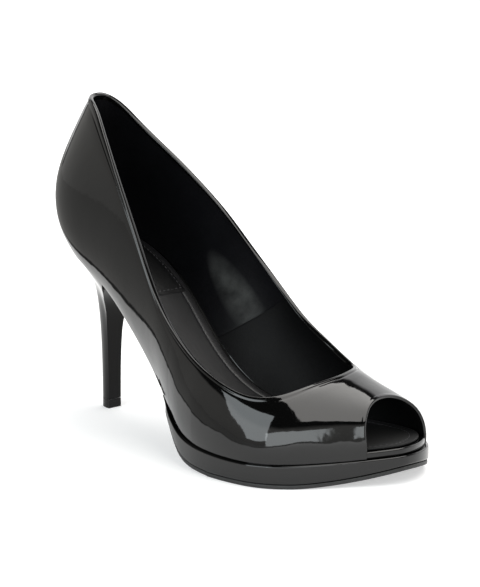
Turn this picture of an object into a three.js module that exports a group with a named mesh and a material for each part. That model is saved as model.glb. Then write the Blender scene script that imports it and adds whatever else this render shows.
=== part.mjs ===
// Peep toe pump: a right shoe for women with a stiletto heel and a thin platform.
// Millimetres, +X to the toe, +Y to the medial side, +Z up, standing on its sole at z = 0.
import * as THREE from 'three';
import { mergeVertices } from 'three/addons/utils/BufferGeometryUtils.js';

// Driving sizes
const LENGTH = 216;             // feather line, from the back of the seat to the toe
const BALL_WIDTH = 88;          // feather width at the ball
const HEEL_WIDTH = 58;          // width of the upper round the heel
const HEEL_HEIGHT = 89;         // floor to the feather line at the back
const COUNTER_HEIGHT = 70;      // feather line to the topline at the back
const INSTEP_HEIGHT = 62;       // feather line to the ridge of the last at the instep
const PLATFORM_THICKNESS = 8.2;
const SOLE_THICKNESS = 2;
const TOE_SPRING = 6.5;         // lift of the sole under the tip of the toe
const FEATHER_SPRING = 3;       // lift of the feather line at the tip of the toe
const WALL = 1.8;               // upper with its lining
const INSOLE_THICKNESS = 3.4;
const SOCK_THICKNESS = 1;
const SOCK_INSET = 1.4;         // edge of the insole to the edge of the sock
const PLATFORM_EDGE = 1.3;      // platform beyond the feather line
const SOLE_EDGE = 0.5;          // sole behind the edge of the platform
const SHANK_INSET = 4;          // sole behind the feather line along the waist
const SEAT_INSET = 1;           // heel behind the feather line round the seat
const BREAST_PLACE = 44;        // back of the seat to the breast of the heel
const TIP_PLACE = 16;           // back of the seat to the back of the heel tip
const TIP_DEPTH = 8.2;
const TIP_WIDTH = 7.8;
const TIP_HEIGHT = 4.4;
const TOE_OPENING_WIDTH = 41;
const TOE_OPENING_SHIFT = 3;    // middle of the opening to the medial side of the tip of the toe
const TOE_OPENING_DEPTH = 18.8;  // tip of the toe to the back of the opening
const GAP = 0.3;                // clearance between pieces that meet

const FOREFOOT_HEIGHT = SOLE_THICKNESS + PLATFORM_THICKNESS + 2 * GAP;
const RISE = HEEL_HEIGHT - FOREFOOT_HEIGHT;

// Sections of the last, from heel to toe. along is a share of LENGTH and rise of RISE.
// ball blends the width from HEEL_WIDTH (0) to BALL_WIDTH (1), and the height from
// COUNTER_HEIGHT to INSTEP_HEIGHT. The other columns are shares of those two: the centre line,
// the half widths at the feather line, the bulge and the shoulder on the lateral and medial
// side, and the height of the ridge. lift is a share of FEATHER_SPRING.
const SECTIONS = [
  ['along', 'rise', 'lift', 'ball', 'centre', 'featherL', 'bulgeL', 'shoulderL',
    'featherM', 'bulgeM', 'shoulderM', 'ridge'],
  [0.00, 1.000, 0.00, 0.00, -0.022, 0.400, 0.545, 0.200, 0.400, 0.520, 0.190, 1.50],
  [0.09, 0.905, 0.00, 0.00, -0.030, 0.400, 0.545, 0.215, 0.400, 0.520, 0.200, 1.50],
  [0.21, 0.763, 0.00, 0.10, -0.040, 0.385, 0.520, 0.270, 0.385, 0.510, 0.290, 1.52],
  [0.325, 0.535, 0.00, 0.35, -0.047, 0.360, 0.455, 0.330, 0.315, 0.460, 0.390, 1.52],
  [0.44, 0.268, 0.00, 0.60, -0.048, 0.370, 0.430, 0.355, 0.265, 0.435, 0.450, 1.45],
  [0.555, 0.066, 0.00, 0.85, -0.035, 0.460, 0.478, 0.350, 0.325, 0.425, 0.410, 1.24],
  [0.67, 0.010, 0.00, 1.00, -0.015, 0.508, 0.512, 0.365, 0.438, 0.446, 0.350, 0.97],
  [0.765, 0.000, 0.00, 1.00, 0.018, 0.522, 0.524, 0.375, 0.476, 0.466, 0.320, 0.725],
  [0.86, 0.000, 0.10, 1.00, 0.070, 0.470, 0.468, 0.355, 0.470, 0.453, 0.305, 0.545],
  [0.94, 0.000, 0.45, 1.00, 0.130, 0.312, 0.310, 0.240, 0.425, 0.415, 0.310, 0.41],
  [1.00, 0.000, 1.00, 1.00, 0.168, 0.200, 0.198, 0.155, 0.350, 0.340, 0.245, 0.32],
];
const BULGE_HEIGHT = 0.24;      // share of the ridge height
const SHOULDER_HEIGHT = 0.80;   // share of the ridge height
const BULGE_PULL = 1.06;        // the curve stays inside its control points
const SHOULDER_PULL = 1.22;
const HEEL_ROUNDING = 0.20;     // length of the round end, share of LENGTH
const HEEL_FULLNESS = 3;
const TOE_ROUNDING = 0.28;
const TOE_FULLNESS = 3.5;
const KNOTS = [0, 0, 0, 0, 0.25, 0.5, 0.75, 1, 1, 1, 1]; // of the curve over the control points

// Back curve of the counter: height as a share of COUNTER_HEIGHT, forward as a share of HEEL_WIDTH.
const BACK_CURVE = [
  ['height', 'forward'],
  [0.00, 0.000],
  [0.12, -0.080],
  [0.25, -0.118],
  [0.45, -0.105],
  [0.72, 0.025],
  [1.00, 0.205],
  [1.60, 0.600],
];
const BACK_FADE = 0.22;         // reach of the back curve, share of LENGTH

// Topline from the back, along the lateral side, over the throat and back along the medial side.
// along is a share of LENGTH, girth runs from the lateral feather line (0) over the ridge (0.5).
const TOPLINE = [
  ['along', 'girth'],
  [0.000, 0.240],
  [0.014, 0.243],
  [0.050, 0.249],
  [0.100, 0.246],
  [0.160, 0.233],
  [0.228, 0.217],
  [0.300, 0.203],
  [0.374, 0.184],
  [0.454, 0.163],
  [0.540, 0.177],
  [0.632, 0.191],
  [0.715, 0.207],
  [0.775, 0.238],
  [0.815, 0.300],
  [0.830, 0.390],
  [0.832, 0.475],
  [0.823, 0.562],
  [0.798, 0.655],
  [0.764, 0.712],
  [0.722, 0.736],
  [0.678, 0.747],
  [0.632, 0.757],
  [0.590, 0.762],
  [0.540, 0.769],
  [0.447, 0.795],
  [0.360, 0.802],
  [0.270, 0.811],
  [0.185, 0.811],
  [0.105, 0.796],
  [0.050, 0.777],
  [0.014, 0.764],
  [0.000, 0.760],
];

const THROAT_LATERAL = 0.415;   // place on the topline above the lateral corner of the opening
const THROAT_MEDIAL = 0.640;

// Edge of the toe opening: depth is a share of the way from its corners to TOE_OPENING_DEPTH.
const OPENING = [
  ['girth', 'depth'],
  [0.00, 0.00],
  [0.10, 0.01],
  [0.16, 0.05],
  [0.26, 0.16],
  [0.35, 0.33],
  [0.45, 0.64],
  [0.51, 0.83],
  [0.61, 1.00],
  [0.66, 0.97],
  [0.74, 0.68],
  [0.81, 0.38],
  [0.90, 0.12],
  [1.00, 0.00],
];
const LIP_INSET = 0.8;          // insole behind the feather line in the toe opening
const LIP_BLEND = 0.5;          // share of the opening's edge over which it gets there

// Underside of the sole below the feather line, from the waist on, as a share of FOREFOOT_HEIGHT.
const WEDGE_START = 0.42;
const WEDGE = [
  ['along', 'drop'],
  [WEDGE_START, 0.27],
  [0.45, 0.29],
  [0.49, 0.42],
  [0.53, 0.70],
  [0.57, 0.96],
  [0.61, 1.04],
  [0.65, 1.04],
];
const SOLE_BALL = 0.68;         // from here on the sole lies on the floor, share of LENGTH
const SPRING_START = 0.87;      // from here on it lifts, share of LENGTH
const SPRING_POWER = 1.8;
const PLATFORM_START = 0.465;   // back end of the platform, share of LENGTH
const SHANK_END = 0.42;         // the sole widens from the waist to the platform from here on
const SHANK_BLEND = 0.06;

// Heel: drop is a share of the way from the seat to the tip, the others are shares of the way
// from the outline of the seat to the outline of the tip, at the back, the breast and the sides.
const HEEL_RINGS = [
  ['drop', 'back', 'breast', 'side'],
  [0.00, 0.000, 0.00, 0.00],
  [0.05, 0.120, 0.22, 0.16],
  [0.12, 0.310, 0.50, 0.42],
  [0.20, 0.510, 0.74, 0.66],
  [0.30, 0.695, 0.89, 0.84],
  [0.41, 0.820, 0.96, 0.92],
  [0.54, 0.910, 0.985, 0.96],
  [0.70, 0.965, 0.995, 0.985],
  [1.00, 1.000, 1.00, 1.00],
];
const BREAST_POWER = 1.5;       // how far the shape of the breast reaches round the sides
const TIP_STRAIGHT = 0.14;      // share of the tip's depth with straight sides

// Numbers of faces
const SIDE_STEPS = 40;
const OPENING_STEPS = 20;
const UPPER_ROWS = 10;
const PLATE_STEPS = 44;
const PLATE_COLUMNS = 6;
const HEEL_STEPS = 20;
const BACK_CROWDING = 1.1;      // finer steps round the back
const SEARCH_STEPS = 40;
const SMALL_STEP = 1e-4;

const PATENT = { color: 0x0b0b0c, roughness: 0.08 };
const SATIN = { color: 0x141416, roughness: 0.55 };
const RUBBER = { color: 0x161616, roughness: 0.6 };

function clamp(value, low, high) {
  return Math.min(high, Math.max(low, value));
}

function mix(from, to, share) {
  return from + (to - from) * share;
}

// Natural cubic spline through the rows of one column, straight beyond its ends.
function spline(xs, ys) {
  const n = xs.length;
  const bend = new Array(n).fill(0);
  const work = new Array(n).fill(0);
  for (let i = 1; i < n - 1; i += 1) {
    const before = xs[i] - xs[i - 1];
    const after = xs[i + 1] - xs[i];
    const p = (before * bend[i - 1]) / (before + after) + 2;
    const kink = (ys[i + 1] - ys[i]) / after - (ys[i] - ys[i - 1]) / before;
    bend[i] = -after / (before + after) / p;
    work[i] = ((6 * kink) / (before + after) - (before / (before + after)) * work[i - 1]) / p;
  }
  for (let i = n - 2; i >= 0; i -= 1) {
    bend[i] = bend[i] * bend[i + 1] + work[i];
  }
  return (x) => {
    const at = clamp(x, xs[0], xs[n - 1]);
    let i = 1;
    while (i < n - 1 && at > xs[i]) {
      i += 1;
    }
    const h = xs[i] - xs[i - 1];
    const a = (xs[i] - at) / h;
    const b = 1 - a;
    const curve = ((a ** 3 - a) * bend[i - 1] + (b ** 3 - b) * bend[i]) * (h * h) / 6;
    return a * ys[i - 1] + b * ys[i] + curve;
  };
}

// Named columns of a table as splines over its first column.
function columns(table) {
  const [names, ...rows] = table;
  const first = rows.map((row) => row[0]);
  const found = {};
  names.forEach((name, k) => {
    found[name] = spline(first, rows.map((row) => row[k]));
  });
  return found;
}

// The table's rows as curves over an even parameter from 0 to 1, for a line that turns back.
function route(table) {
  const [names, ...rows] = table;
  const even = rows.map((row, i) => i / (rows.length - 1));
  const found = {};
  names.forEach((name, k) => {
    found[name] = spline(even, rows.map((row) => row[k]));
  });
  return found;
}

const section = columns(SECTIONS);
const backCurve = columns(BACK_CURVE);
const topline = route(TOPLINE);
const opening = columns(OPENING);
const wedge = columns(WEDGE);
const heelRing = columns(HEEL_RINGS);

// 0 at the end of the last and 1 where its round end is over.
function roundEnd(share, fullness) {
  return Math.sqrt(1 - (1 - clamp(share, 0, 1)) ** fullness);
}

function ends(along) {
  const heel = roundEnd(along / HEEL_ROUNDING, HEEL_FULLNESS);
  return heel * roundEnd((1 - along) / TOE_ROUNDING, TOE_FULLNESS);
}

function featherHeight(x) {
  const along = x / LENGTH;
  return FOREFOOT_HEIGHT + RISE * section.rise(along) + FEATHER_SPRING * section.lift(along);
}

function widthScale(along) {
  return mix(HEEL_WIDTH, BALL_WIDTH, section.ball(along));
}

// Weights of the seven control points of a clamped cubic B-spline at t from 0 to 1.
function weights(t) {
  let row = KNOTS.slice(1).map((knot, i) => {
    const last = t >= 1 && i === 6;
    return last || (t >= KNOTS[i] && t < knot) ? 1 : 0;
  });
  for (let degree = 1; degree <= 3; degree += 1) {
    row = row.slice(1).map((next, i) => {
      const rising = KNOTS[i + degree] - KNOTS[i];
      const falling = KNOTS[i + degree + 1] - KNOTS[i + 1];
      const a = rising > 0 ? ((t - KNOTS[i]) / rising) * row[i] : 0;
      const b = falling > 0 ? ((KNOTS[i + degree + 1] - t) / falling) * next : 0;
      return a + b;
    });
  }
  return row;
}

// Point of the last's outer surface. girth runs from the lateral feather line at 0, over the
// ridge at 0.5, to the medial feather line at 1.
function last(along, girth) {
  const width = widthScale(along);
  const tall = mix(COUNTER_HEIGHT, INSTEP_HEIGHT, section.ball(along)) * section.ridge(along);
  const halves = [
    -section.featherL(along),
    -section.bulgeL(along) * BULGE_PULL,
    -section.shoulderL(along) * SHOULDER_PULL,
    0,
    section.shoulderM(along) * SHOULDER_PULL,
    section.bulgeM(along) * BULGE_PULL,
    section.featherM(along),
  ];
  const heights = [0, BULGE_HEIGHT, SHOULDER_HEIGHT, 1, SHOULDER_HEIGHT, BULGE_HEIGHT, 0];
  let across = 0;
  let up = 0;
  weights(clamp(girth, 0, 1)).forEach((weight, i) => {
    across += weight * halves[i];
    up += weight * heights[i];
  });
  const height = up * tall;
  const fade = Math.exp(-((along / BACK_FADE) ** 2));
  const forward = HEEL_WIDTH * backCurve.forward(height / COUNTER_HEIGHT) * fade;
  const x = along * LENGTH;
  return new THREE.Vector3(
    x + forward,
    width * (section.centre(along) + across * ends(along)),
    featherHeight(x) + height,
  );
}

// Point of the feather line in plan. side is -1 on the lateral and 1 on the medial side.
function feather(along, side) {
  const half = side < 0 ? section.featherL(along) : section.featherM(along);
  const y = widthScale(along) * (section.centre(along) + side * half * ends(along));
  return new THREE.Vector2(along * LENGTH, y);
}

// Even steps of this share give even steps round both ends of the feather line.
function eased(share) {
  return (1 - Math.cos(Math.PI * share)) / 2;
}

// The feather line moved inwards by an inset. share runs from heel to toe.
function edge(share, side, inset) {
  const point = feather(eased(share), side);
  const before = feather(eased(Math.max(0, share - SMALL_STEP)), side);
  const after = feather(eased(Math.min(1, share + SMALL_STEP)), side);
  const run = after.sub(before).normalize();
  if (share <= 0 || share >= 1) {
    run.set(0, share <= 0 ? side : -side);
  }
  return new THREE.Vector2(point.x + side * run.y * inset, point.y - side * run.x * inset);
}

function shareOf(x) {
  return Math.acos(1 - (2 * clamp(x, 0, LENGTH)) / LENGTH) / Math.PI;
}

// Height of the underside of the sole.
function soleBottom(x) {
  const along = x / LENGTH;
  if (along < WEDGE_START) {
    return featherHeight(x) - GAP - SOLE_THICKNESS;
  }
  const spring = Math.max(0, (along - SPRING_START) / (1 - SPRING_START)) ** SPRING_POWER;
  return along < SOLE_BALL
    ? Math.max(0, featherHeight(x) - FOREFOOT_HEIGHT * wedge.drop(along))
    : TOE_SPRING * spring;
}

// A closed body from two sheets of points with the same rows, joined round their border.
function closedSheets(upperSheet, lowerSheet, ring) {
  const rows = upperSheet.length;
  const count = upperSheet[0].length;
  const points = [...upperSheet.flat(), ...lowerSheet.flat()];
  const place = (sheet, i, j) => sheet * rows * count + i * count + (j % count);
  const faces = [];
  const quad = (a, b, c, d) => faces.push(a, b, c, a, c, d);
  const across = ring ? count : count - 1;
  for (let i = 0; i < rows - 1; i += 1) {
    for (let j = 0; j < across; j += 1) {
      quad(place(0, i, j), place(0, i, j + 1), place(0, i + 1, j + 1), place(0, i + 1, j));
      quad(place(1, i, j), place(1, i + 1, j), place(1, i + 1, j + 1), place(1, i, j + 1));
    }
  }
  for (let j = 0; j < across; j += 1) {
    quad(place(0, 0, j), place(1, 0, j), place(1, 0, j + 1), place(0, 0, j + 1));
    const i = rows - 1;
    quad(place(0, i, j), place(0, i, j + 1), place(1, i, j + 1), place(1, i, j));
  }
  if (!ring) {
    for (let i = 0; i < rows - 1; i += 1) {
      const j = count - 1;
      quad(place(0, i, 0), place(0, i + 1, 0), place(1, i + 1, 0), place(1, i, 0));
      quad(place(0, i, j), place(1, i, j), place(1, i + 1, j), place(0, i + 1, j));
    }
  }
  return solid(points, faces);
}

// Merges equal points, drops the faces that closed up and turns the body outside out.
function solid(points, faces) {
  const raw = new THREE.BufferGeometry().setFromPoints(points);
  raw.setIndex(faces);
  const merged = mergeVertices(raw, SMALL_STEP);
  const index = merged.index.array;
  const kept = [];
  for (let i = 0; i < index.length; i += 3) {
    const [a, b, c] = [index[i], index[i + 1], index[i + 2]];
    if (a !== b && b !== c && c !== a) {
      kept.push(a, b, c);
    }
  }
  const place = merged.getAttribute('position');
  const corner = (i) => new THREE.Vector3().fromBufferAttribute(place, kept[i]);
  let volume = 0;
  for (let i = 0; i < kept.length; i += 3) {
    volume += corner(i).dot(corner(i + 1).cross(corner(i + 2)));
  }
  if (volume < 0) {
    kept.reverse();
  }
  merged.setIndex(kept);
  merged.computeVertexNormals();
  return merged;
}

// Place on the feather line where the toe opening ends: half the opening's width to the side.
function openingCorner(side) {
  const middle = feather(1, side).y + TOE_OPENING_SHIFT;
  let near = 1;
  let far = 1 - TOE_ROUNDING;
  for (let i = 0; i < SEARCH_STEPS; i += 1) {
    const tried = (near + far) / 2;
    if (Math.abs(feather(tried, side).y - middle) < TOE_OPENING_WIDTH / 2) {
      near = tried;
    } else {
      far = tried;
    }
  }
  return near;
}

function openingEdge(girth) {
  const corner = mix(openingCorner(-1), openingCorner(1), girth);
  const top = 1 - TOE_OPENING_DEPTH / LENGTH;
  return mix(corner, top, opening.depth(girth));
}

// Border of the upper below: the lateral feather line, the toe opening, the medial feather line.
function border() {
  const found = [];
  for (let i = 0; i < SIDE_STEPS; i += 1) {
    const limit = shareOf(openingCorner(-1) * LENGTH);
    found.push([eased((limit * i) / SIDE_STEPS), 0]);
  }
  for (let i = 0; i <= OPENING_STEPS; i += 1) {
    const girth = i / OPENING_STEPS;
    found.push([openingEdge(girth), girth]);
  }
  for (let i = SIDE_STEPS - 1; i > 0; i -= 1) {
    const limit = shareOf(openingCorner(1) * LENGTH);
    found.push([eased((limit * i) / SIDE_STEPS), 1]);
  }
  return found;
}

function toplineShare(i, count) {
  if (i < SIDE_STEPS) {
    return THROAT_LATERAL * (i / SIDE_STEPS) ** BACK_CROWDING;
  }
  if (i <= SIDE_STEPS + OPENING_STEPS) {
    return mix(THROAT_LATERAL, THROAT_MEDIAL, (i - SIDE_STEPS) / OPENING_STEPS);
  }
  return 1 - (1 - THROAT_MEDIAL) * ((count - i) / SIDE_STEPS) ** BACK_CROWDING;
}

// Moves a sheet that closes on itself inwards along its own normals.
function offsetRing(sheet, distance) {
  const rows = sheet.length;
  const count = sheet[0].length;
  return sheet.map((row, i) => row.map((point, j) => {
    const down = sheet[Math.min(rows - 1, i + 1)][j].clone().sub(sheet[Math.max(0, i - 1)][j]);
    const round = row[(j + 1) % count].clone().sub(row[(j + count - 1) % count]);
    const moved = point.clone().addScaledVector(down.cross(round).normalize(), -distance);
    moved.z = Math.max(moved.z, featherHeight(moved.x));
    return moved;
  }));
}

function upper() {
  const below = border();
  const count = below.length;
  const sheet = [];
  for (let i = 0; i <= UPPER_ROWS; i += 1) {
    const share = i / UPPER_ROWS;
    sheet.push(below.map(([along, girth], j) => {
      const place = toplineShare(j, count);
      const topAlong = Math.max(0, topline.along(place));
      return last(mix(topAlong, along, share), mix(topline.girth(place), girth, share));
    }));
  }
  return closedSheets(sheet, offsetRing(sheet, WALL), true);
}

// A plate under the foot between two heights, over a stretch of the feather line.
function plate(from, to, inset, top, bottom) {
  const sheets = [top, bottom].map((height) => {
    const rows = [];
    for (let i = 0; i <= PLATE_STEPS; i += 1) {
      const share = mix(from, to, i / PLATE_STEPS);
      const lateral = edge(share, -1, inset(share, -1));
      const medial = edge(share, 1, inset(share, 1));
      const row = [];
      for (let j = 0; j <= PLATE_COLUMNS; j += 1) {
        const spot = lateral.clone().lerp(medial, j / PLATE_COLUMNS);
        row.push(new THREE.Vector3(spot.x, spot.y, height(spot.x)));
      }
      rows.push(row);
    }
    return rows;
  });
  return closedSheets(sheets[0], sheets[1], false);
}

// The insole reaches further out in the toe opening, where no wall stands beside it.
function insoleInset(share, side) {
  const corner = shareOf(openingCorner(side) * LENGTH);
  const way = clamp((share - corner) / (LIP_BLEND * (1 - corner)), 0, 1);
  return mix(WALL + GAP, LIP_INSET, way * way * (3 - 2 * way));
}

function insole() {
  const bottom = featherHeight;
  return plate(0, 1, insoleInset, (x) => bottom(x) + INSOLE_THICKNESS, bottom);
}

function sock() {
  const bottom = (x) => featherHeight(x) + INSOLE_THICKNESS + GAP;
  const inset = (share, side) => insoleInset(share, side) + SOCK_INSET;
  return plate(0, 1, inset, (x) => bottom(x) + SOCK_THICKNESS, bottom);
}

function platform() {
  const top = (x) => featherHeight(x) - GAP;
  const bottom = (x) => soleBottom(x) + SOLE_THICKNESS + GAP;
  return plate(shareOf(PLATFORM_START * LENGTH), 1, () => -PLATFORM_EDGE, top, bottom);
}

function soleInset(share) {
  const way = clamp((eased(share) - SHANK_END) / SHANK_BLEND, 0, 1);
  return mix(SHANK_INSET, SOLE_EDGE - PLATFORM_EDGE, way * way * (3 - 2 * way));
}

function outsole() {
  const top = (x) => soleBottom(x) + SOLE_THICKNESS;
  return plate(shareOf(BREAST_PLACE + GAP), 1, soleInset, top, soleBottom);
}

// Outline of a heel section, from the lateral end of the breast round the back to the medial end.
function seatOutline() {
  const found = [];
  const limit = shareOf(BREAST_PLACE);
  for (let i = -HEEL_STEPS; i <= HEEL_STEPS; i += 1) {
    const side = i < 0 ? -1 : 1;
    const share = (limit * Math.abs(i)) / HEEL_STEPS;
    const spot = edge(share, side, SEAT_INSET);
    spot.x = Math.min(spot.x, BREAST_PLACE);
    found.push(spot);
  }
  return found;
}

function tipOutline() {
  const found = [];
  const centre = widthScale(TIP_PLACE / LENGTH) * section.centre(TIP_PLACE / LENGTH);
  for (let i = -HEEL_STEPS; i <= HEEL_STEPS; i += 1) {
    const share = i / HEEL_STEPS;
    const turn = clamp(Math.abs(share) / (1 - TIP_STRAIGHT / 2), 0, 1) * (Math.PI / 2);
    const straight = clamp((Math.abs(share) - 1 + TIP_STRAIGHT / 2) / (TIP_STRAIGHT / 2), 0, 1);
    const round = TIP_DEPTH * (1 - TIP_STRAIGHT);
    const x = TIP_PLACE + round * (1 - Math.cos(turn)) + TIP_DEPTH * TIP_STRAIGHT * straight;
    found.push(new THREE.Vector2(x, centre + Math.sign(share) * (TIP_WIDTH / 2) * Math.sin(turn)));
  }
  return found;
}

// A column of rings, each closed by the straight breast, with a flat fan at both ends.
function stack(rings) {
  const top = rings[0];
  const low = rings[rings.length - 1];
  const middle = (ring) => {
    const breast = ring[0].clone().lerp(ring[ring.length - 1], 0.5);
    return breast.lerp(ring[(ring.length - 1) / 2], 0.5);
  };
  const first = top.map(() => middle(top));
  const lastRing = low.map(() => middle(low));
  const points = [first, ...rings, lastRing];
  const count = top.length;
  const faces = [];
  for (let i = 0; i < points.length - 1; i += 1) {
    for (let j = 0; j < count; j += 1) {
      const next = (j + 1) % count;
      const a = i * count;
      const b = (i + 1) * count;
      faces.push(a + j, b + j, b + next, a + j, b + next, a + next);
    }
  }
  return solid(points.flat(), faces);
}

function heel() {
  const seat = seatOutline();
  const tip = tipOutline();
  const rings = HEEL_RINGS.slice(1).map(([drop]) => seat.map((spot, j) => {
    const breast = ((spot.x - seat[HEEL_STEPS].x) / (BREAST_PLACE - seat[HEEL_STEPS].x)) ** BREAST_POWER;
    const shareX = mix(heelRing.back(drop), heelRing.breast(drop), breast);
    const top = featherHeight(spot.x) - GAP;
    return new THREE.Vector3(
      mix(spot.x, tip[j].x, shareX),
      mix(spot.y, tip[j].y, heelRing.side(drop)),
      mix(top, TIP_HEIGHT + GAP, drop),
    );
  }));
  return stack(rings);
}

function heelTip() {
  const tip = tipOutline();
  return stack([TIP_HEIGHT, 0].map((z) => tip.map((spot) => new THREE.Vector3(spot.x, spot.y, z))));
}

function piece(name, geometry, look) {
  const mesh = new THREE.Mesh(geometry, new THREE.MeshStandardMaterial(look));
  mesh.name = name;
  return mesh;
}

const shoe = new THREE.Group();
shoe.add(piece('upper', upper(), PATENT));
shoe.add(piece('insole', insole(), PATENT));
shoe.add(piece('sock', sock(), SATIN));
shoe.add(piece('platform', platform(), PATENT));
shoe.add(piece('outsole', outsole(), RUBBER));
shoe.add(piece('heel', heel(), PATENT));
shoe.add(piece('heel_tip', heelTip(), RUBBER));

// The origin is on the floor under the middle of the shoe.
const box = new THREE.Box3().setFromObject(shoe);
shoe.position.set(-(box.min.x + box.max.x) / 2, -(box.min.y + box.max.y) / 2, 0);

export default shoe;
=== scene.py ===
"""Peep toe pump in black patent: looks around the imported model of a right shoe.

Sizes are millimetres in the tables and properties, metres in Blender. x runs to the toe from the
back of the seat, y to the medial side, z up from the floor."""
import math

import bmesh
import bpy
import numpy as np
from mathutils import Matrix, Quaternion, Vector


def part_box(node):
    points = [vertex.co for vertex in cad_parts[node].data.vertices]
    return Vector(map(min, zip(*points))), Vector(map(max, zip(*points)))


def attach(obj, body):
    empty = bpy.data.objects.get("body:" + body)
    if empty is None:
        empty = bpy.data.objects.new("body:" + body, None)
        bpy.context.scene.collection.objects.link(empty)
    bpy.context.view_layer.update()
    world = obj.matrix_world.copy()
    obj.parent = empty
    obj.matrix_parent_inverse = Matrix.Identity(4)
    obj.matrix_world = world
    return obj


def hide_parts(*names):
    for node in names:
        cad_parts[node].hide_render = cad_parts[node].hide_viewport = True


bl_info = {
    "name": "Peep Toe Pump",
    "version": (1, 0, 0),
    "blender": (4, 5, 0),
    "location": "View3D > Sidebar > Pump",
    "description": "Builds the surfaces and finishes of a patent peep toe pump",
    "category": "Add Mesh",
}

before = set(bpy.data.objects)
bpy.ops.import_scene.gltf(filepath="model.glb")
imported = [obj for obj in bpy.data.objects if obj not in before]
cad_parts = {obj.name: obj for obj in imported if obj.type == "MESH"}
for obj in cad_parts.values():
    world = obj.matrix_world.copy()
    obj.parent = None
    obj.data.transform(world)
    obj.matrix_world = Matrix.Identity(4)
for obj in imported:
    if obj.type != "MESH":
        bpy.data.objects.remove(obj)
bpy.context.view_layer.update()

MM = 0.001
FRAME_SIZE = (480, 587)  # pixels of the photograph
SENSOR = 36.0

# Sections of the last, from heel to toe. along is a share of the length and rise of the rise from
# forefoot to heel. ball blends heel width to ball width. The others are shares of width or height.
SECTIONS = [
    ("along", "rise", "lift", "ball", "centre", "feather_l", "bulge_l", "shoulder_l",
     "feather_m", "bulge_m", "shoulder_m", "ridge"),
    (0.00, 1.000, 0.00, 0.00, -0.022, 0.400, 0.545, 0.200, 0.400, 0.520, 0.190, 1.50),
    (0.09, 0.905, 0.00, 0.00, -0.030, 0.400, 0.545, 0.215, 0.400, 0.520, 0.200, 1.50),
    (0.21, 0.763, 0.00, 0.10, -0.040, 0.385, 0.520, 0.270, 0.385, 0.510, 0.290, 1.52),
    (0.325, 0.535, 0.00, 0.35, -0.047, 0.360, 0.455, 0.330, 0.315, 0.460, 0.390, 1.52),
    (0.44, 0.268, 0.00, 0.60, -0.048, 0.370, 0.430, 0.355, 0.265, 0.435, 0.450, 1.45),
    (0.555, 0.066, 0.00, 0.85, -0.035, 0.460, 0.478, 0.350, 0.325, 0.425, 0.410, 1.24),
    (0.67, 0.010, 0.00, 1.00, -0.015, 0.508, 0.512, 0.365, 0.438, 0.446, 0.350, 0.97),
    (0.765, 0.000, 0.00, 1.00, 0.018, 0.522, 0.524, 0.375, 0.476, 0.466, 0.320, 0.725),
    (0.86, 0.000, 0.10, 1.00, 0.070, 0.470, 0.468, 0.355, 0.470, 0.453, 0.305, 0.545),
    (0.94, 0.000, 0.45, 1.00, 0.130, 0.312, 0.310, 0.240, 0.425, 0.415, 0.310, 0.41),
    (1.00, 0.000, 1.00, 1.00, 0.168, 0.200, 0.198, 0.155, 0.350, 0.340, 0.245, 0.32),
]
BACK_CURVE = [("height", "forward"), (0.00, 0.000), (0.12, -0.080), (0.25, -0.118),
              (0.45, -0.105), (0.72, 0.025), (1.00, 0.205), (1.60, 0.600)]
TOPLINE = [
    ("along", "girth"),
    (0.000, 0.240), (0.014, 0.243), (0.050, 0.249), (0.100, 0.246), (0.160, 0.233),
    (0.228, 0.217), (0.300, 0.203), (0.374, 0.184), (0.454, 0.163), (0.540, 0.177),
    (0.632, 0.191), (0.715, 0.207), (0.775, 0.238), (0.815, 0.300), (0.830, 0.390),
    (0.832, 0.475), (0.823, 0.562), (0.798, 0.655), (0.764, 0.712), (0.722, 0.736),
    (0.678, 0.747), (0.632, 0.757), (0.590, 0.762), (0.540, 0.769), (0.447, 0.795),
    (0.360, 0.802), (0.270, 0.811), (0.185, 0.811), (0.105, 0.796), (0.050, 0.777),
    (0.014, 0.764), (0.000, 0.760),
]
OPENING = [("girth", "depth"), (0.00, 0.00), (0.10, 0.01), (0.16, 0.05), (0.26, 0.16),
           (0.35, 0.33), (0.45, 0.64), (0.51, 0.83), (0.61, 1.00), (0.66, 0.97), (0.74, 0.68),
           (0.81, 0.38), (0.90, 0.12), (1.00, 0.00)]
WEDGE_START = 0.42
WEDGE = [("along", "drop"), (WEDGE_START, 0.27), (0.45, 0.29), (0.49, 0.42), (0.53, 0.70),
         (0.57, 0.96), (0.61, 1.04), (0.65, 1.04)]
HEEL_RINGS = [("drop", "back", "breast", "side"), (0.00, 0.000, 0.00, 0.00),
              (0.05, 0.120, 0.22, 0.16), (0.12, 0.310, 0.50, 0.42), (0.20, 0.510, 0.74, 0.66),
              (0.30, 0.695, 0.89, 0.84), (0.41, 0.820, 0.96, 0.92), (0.54, 0.910, 0.985, 0.96),
              (0.70, 0.965, 0.995, 0.985), (1.00, 1.000, 1.00, 1.00)]
BULGE_HEIGHT, SHOULDER_HEIGHT = 0.24, 0.80
BULGE_PULL, SHOULDER_PULL = 1.06, 1.22
HEEL_ROUNDING, HEEL_FULLNESS = 0.20, 3.0
TOE_ROUNDING, TOE_FULLNESS = 0.28, 3.5
BACK_FADE = 0.22
KNOTS = (0, 0, 0, 0, 0.25, 0.5, 0.75, 1, 1, 1, 1)
THROAT_LATERAL, THROAT_MEDIAL = 0.415, 0.640
LIP_BLEND = 0.5
SOLE_BALL, SPRING_START, SPRING_POWER = 0.68, 0.87, 1.8
PLATFORM_START, SHANK_END, SHANK_BLEND = 0.465, 0.435, 0.06
BREAST_POWER, TIP_STRAIGHT, BACK_CROWDING = 1.5, 0.14, 1.1
SIDE_STEPS, OPENING_STEPS = 40, 20
RING_STEPS = 2 * SIDE_STEPS + OPENING_STEPS

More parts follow.
